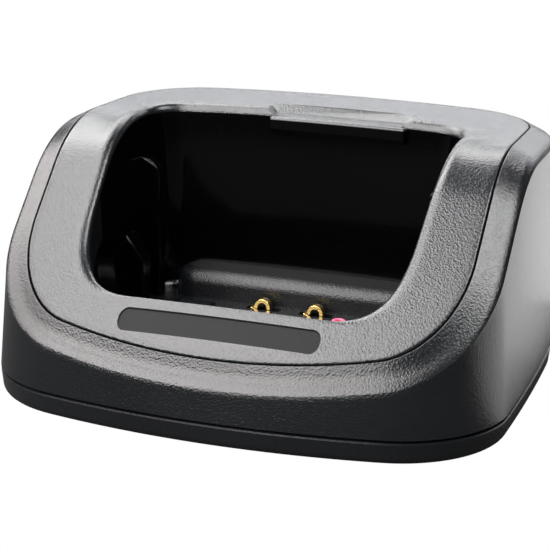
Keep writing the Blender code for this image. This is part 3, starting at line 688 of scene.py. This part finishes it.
def light_pieces(highlight_material, dot_material):
    """The charge light: a red dome, and round it a pink ring whose colour is a painted highlight."""
    x, y = LED_PLACE
    profile = [(0.65, LED_TOP - 0.4), (0.7, LED_TOP - 0.05), (0.78, LED_TOP), (1.15, LED_TOP),
               (1.27, LED_TOP - 0.1), (1.3, LED_TOP - 0.3), (1.3, FLOOR_Z), (1.5, FLOOR_Z - 0.4),
               (1.5, LED_FOOT), (0.65, LED_FOOT)]
    rings = []
    for i in range(48):
        angle = 2 * math.pi * i / 48
        rings.append([Vector((x + r * math.cos(angle), y + r * math.sin(angle), z)) for r, z in profile])
    # the ring round the dome is a painted highlight
    piece(make_object("status_led_highlight_ring", loft(rings, closed=True), highlight_material),
          replaces=["status_led"])
    shoulder = LED_TOP - 0.35
    dome = [(DOME_RADIUS, LED_FOOT), (DOME_RADIUS, shoulder)]
    for i in range(1, 8):
        angle = math.pi / 2 * i / 8
        dome.append((DOME_RADIUS * math.cos(angle), shoulder + 0.3 * math.sin(angle)))
    piece(make_object("status_led_dome", turned(dome, (x, y, 0)), dot_material))


def tongue_piece(material, polished_and_shaded):
    """The rear tongue, grained on top and polished on its walls, whose darker colour is painted shade."""
    tongue = make_object("rear_tongue", loft(tongue_rings(8), closed=False), material)
    tongue.data.materials.append(polished_and_shaded)
    for face in tongue.data.polygons:
        face.material_index = 1 if face.normal.z < WALL_NORMAL_Z else 0
    piece(tongue)


def fin_pieces(material):
    """Side fins guide the radio in. Their edges are softly broken, so they catch the light."""
    fins = (("rear", REAR_FIN_Y, rear_crest(16)), ("front", FRONT_FIN_Y, front_crest()))
    for side, name in ((-1, "left"), (1, "right")):
        for where, span, crest in fins:
            rings = fin_rings(side, span, crest)
            # the fins take the darker polished material, whose colour is painted shade inside the pocket
            fin = make_object(f"{where}_fin_{name}", loft(rings, closed=False), material)
            break_edges(fin, 0.35, 4, 30)
            piece(fin)


def ledge_piece(material):
    """The round-edged ledge across the back of the pocket's floor."""
    low = (-LEDGE_HALF_WIDTH, LEDGE_Y[0], FLOOR_Z - 0.3)
    high = (LEDGE_HALF_WIDTH, LEDGE_BACK_Y, LEDGE_Z)
    ledge = soft_block(low, high, LEDGE_CORNER, LEDGE_EDGE, edge_steps=12)
    piece(make_object("battery_ledge", ledge, material))


# ---- stage -------------------------------------------------------------------------------------------------
def make_floor():
    """A plain white floor. It is evenly white to the camera, and what the cradle mirrors is dark in front and
    on the left, and bright behind and on the right, as between studio screens."""
    everywhere = ((-2500, -2500), (2500, -2500), (2500, 2500), (-2500, 2500))
    bright_part = ((52, -12), (420, -12), (900, 1900), (-200, 1900), (-60, 70), (52, 70))
    sheets = (("floor", everywhere, -0.3, 0.04), ("floor_behind", bright_part, 0.0, 0.40))
    for name, plan, z, albedo in sheets:
        bm = bmesh.new()
        bm.faces.new([bm.verts.new((x, y, z)) for x, y in plan])
        nodes = Nodes(name, 1.0, specular=0.0)
        tone = nodes.ramp(nodes.noise(0.02, 2.0), [(0.3, grey(albedo)), (0.7, grey(albedo * 1.05))])
        nodes.link(tone, "Base Color")
        white = nodes.node("ShaderNodeEmission", Color=(1.0, 1.0, 1.0, 1.0), Strength=1.0)
        seen = nodes.node("ShaderNodeLightPath").outputs["Is Camera Ray"]
        nodes.mix_output(seen, white.outputs["Emission"])
        make_object(name, bm, nodes.material)


def towards(azimuth, elevation):
    """A direction from the cradle, from angles in degrees. Azimuth 0 is the front, and 90 is +X."""
    a, e = math.radians(azimuth), math.radians(elevation)
    return Vector((math.sin(a) * math.cos(e), -math.cos(a) * math.cos(e), math.sin(e)))


def area_light(name, place, aim, size, power, colour):
    """A rectangular soft box, in metres and watts, that faces a point."""
    data = bpy.data.lights.new(name, "AREA")
    data.shape = "RECTANGLE"
    data.size, data.size_y = size
    data.energy = power
    data.color = colour
    made = bpy.data.objects.new(name, data)
    bpy.context.scene.collection.objects.link(made)
    made.location = place
    made.rotation_euler = (aim - place).to_track_quat("-Z", "Y").to_euler()


def make_surround():
    """A surround that is white to the camera and dim in what the plastic mirrors."""
    world = bpy.data.worlds.new("studio")
    world.use_nodes = True
    tree = world.node_tree
    dim = tree.nodes["Background"]
    dim.inputs["Color"].default_value = (0.92, 0.96, 1.0, 1.0)
    dim.inputs["Strength"].default_value = 0.08
    white = tree.nodes.new("ShaderNodeBackground")
    white.inputs["Color"].default_value = (1.0, 1.0, 1.0, 1.0)
    mixed = tree.nodes.new("ShaderNodeMixShader")
    seen = tree.nodes.new("ShaderNodeLightPath").outputs["Is Camera Ray"]
    tree.links.new(seen, mixed.inputs["Fac"])
    tree.links.new(dim.outputs["Background"], mixed.inputs[1])
    tree.links.new(white.outputs["Background"], mixed.inputs[2])
    tree.links.new(mixed.outputs["Shader"], tree.nodes["World Output"].inputs["Surface"])
    bpy.context.scene.world = world


def make_light():
    """Soft boxes all around, as (name, azimuth, elevation, distance, size, watts, colour)."""
    white = (1.0, 1.0, 1.0)
    boxes = (
        ("overhead_softbox", -42, 61, 0.8, (0.62, 0.34), 7.8, (1.0, 0.98, 0.985)),
        ("left_rear_softbox", -116, 55, 0.8, (0.34, 0.46), 6.0, white),
        ("left_strip", -82, 30, 0.9, (1.25, 0.50), 12.5, (1.0, 0.95, 0.94)),
        ("front_softbox", -22, 30, 0.9, (0.80, 0.50), 13.5, (1.0, 0.97, 0.96)),
        ("right_softbox", 75, 55, 0.8, (0.40, 0.40), 6.0, white),
        ("rear_softbox", 191, 45, 0.9, (0.80, 0.30), 6.3, white),
        ("rear_glow", 190, 16, 1.1, (1.30, 0.30), 3.5, (0.96, 0.97, 1.0)),
    )
    aim = Vector((0, 0, 0.03))
    for name, azimuth, elevation, distance, size, watts, colour in boxes:
        place = aim + towards(azimuth, elevation) * distance
        area_light(name, place, aim, size, watts, colour)


def make_camera():
    """The camera stands in front, a little to the right and above, as for a catalogue picture."""
    azimuth, elevation, roll = 18.55, 15.52, math.radians(1.33)
    distance = 0.3062
    target = Vector((0, 0, 0.0213))
    back = towards(azimuth, elevation)
    right = towards(azimuth + 90, 0)
    up = back.cross(right)
    tilted_right = right * math.cos(roll) + up * math.sin(roll)
    tilted_up = up * math.cos(roll) - right * math.sin(roll)
    turn = Matrix((tilted_right, tilted_up, back)).transposed()
    data = bpy.data.cameras.new("camera")
    data.lens = 108.6
    data.sensor_width = 36.0
    data.shift_x = -0.0157
    data.shift_y = -0.0175
    data.clip_start = 0.01
    camera = bpy.data.objects.new("camera", data)
    bpy.context.scene.collection.objects.link(camera)
    camera.matrix_world = Matrix.Translation(target + back * distance) @ turn.to_4x4()
    bpy.context.scene.camera = camera


def paint_nodes(names, material):
    """Give nodes that keep their CAD shape a material."""
    for name in names:
        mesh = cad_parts[name].data
        mesh.materials.clear()
        mesh.materials.append(material)


def main():
    """Make the stage, the new pieces and the materials of the carried-over ones."""
    grained = moulded_plastic("grained_black_plastic", dark=0.003, light=0.007, roughness=0.20, grain=3.6,
                              depth=0.080)
    satin = moulded_plastic("satin_black_plastic", dark=0.003, light=0.006, roughness=0.30, grain=4.5,
                            depth=0.015)
    ledge = moulded_plastic("ledge_black_plastic", dark=0.002, light=0.005, roughness=0.30, grain=4.0,
                            depth=0.10, specular=0.36)
    panel = moulded_plastic("panel_black_plastic", dark=0.002, light=0.004, roughness=0.42, grain=3.0,
                            depth=0.02, specular=0.10)
    # painted shade: the pocket's polished plastic gets a base colour far darker than the grained face, so the
    # inside of the pocket renders as dark as shade
    polished_and_shaded = moulded_plastic("polished_shaded_black_plastic", dark=0.0004, light=0.0008, roughness=0.10, grain=1.5,
                            depth=0.003, specular=0.20)
    rubber = plain("foot_rubber", grey(0.010), grey(0.018), 0.85, scale=2.0)
    steel = plain("screw_steel", grey(0.30), grey(0.36), 0.35, 1.0)
    gold = plain("contact_gold", (0.85, 0.58, 0.18), (0.95, 0.70, 0.28), 0.22, 1.0)
    tin = plain("tinned_metal", grey(0.55), grey(0.65), 0.35, 1.0)
    board = plain("board_green", (0.015, 0.10, 0.04), (0.02, 0.13, 0.055), 0.4)
    package = plain("package_black", grey(0.012), grey(0.020), 0.5)
    sleeve = plain("capacitor_sleeve", (0.015, 0.022, 0.05), (0.02, 0.03, 0.06), 0.35)
    ceramic = plain("ceramic", grey(0.04), grey(0.06), 0.5)
    copper = plain("winding_copper", (0.40, 0.15, 0.06), (0.50, 0.20, 0.08), 0.4, 1.0)
    # painted highlight: the bright pink ring stands for the light caught round the edge of the red dome
    led_highlight_pink = plain("led_painted_highlight", (0.62, 0.10, 0.20), (0.72, 0.14, 0.26), 0.12)
    red = plain("led_dome", (0.30, 0.005, 0.012), (0.38, 0.008, 0.02), 0.10)

    make_camera()
    make_surround()
    make_light()
    make_floor()
    shell_piece(grained)
    bezel_piece(grained, polished_and_shaded, panel)
    tongue_piece(grained, polished_and_shaded)
    fin_pieces(polished_and_shaded)
    base_piece(satin)
    ledge_piece(ledge)
    contact_pieces(gold)
    light_pieces(led_highlight_pink, red)

    paint_nodes([f"rubber_foot_{i}" for i in range(1, 5)], rubber)
    paint_nodes([f"base_screw_{i}" for i in range(1, 5)] + ["board_screw_1", "board_screw_2"], steel)
    paint_nodes(["contact_base_left", "contact_base_right", "dc_jack_housing", "charge_controller",
                 "rectifier_diode", "power_transistor"], package)
    paint_nodes(["dc_jack_pin", "dc_jack_leaf", "led_lead_1", "led_lead_2"], tin)
    paint_nodes(["charger_board"], board)
    paint_nodes(["capacitor_1", "capacitor_2"], sleeve)
    paint_nodes([f"chip_resistor_{i}" for i in range(1, 5)], ceramic)
    paint_nodes(["inductor"], copper)
    bpy.context.scene.view_settings.view_transform = "Standard"


main()
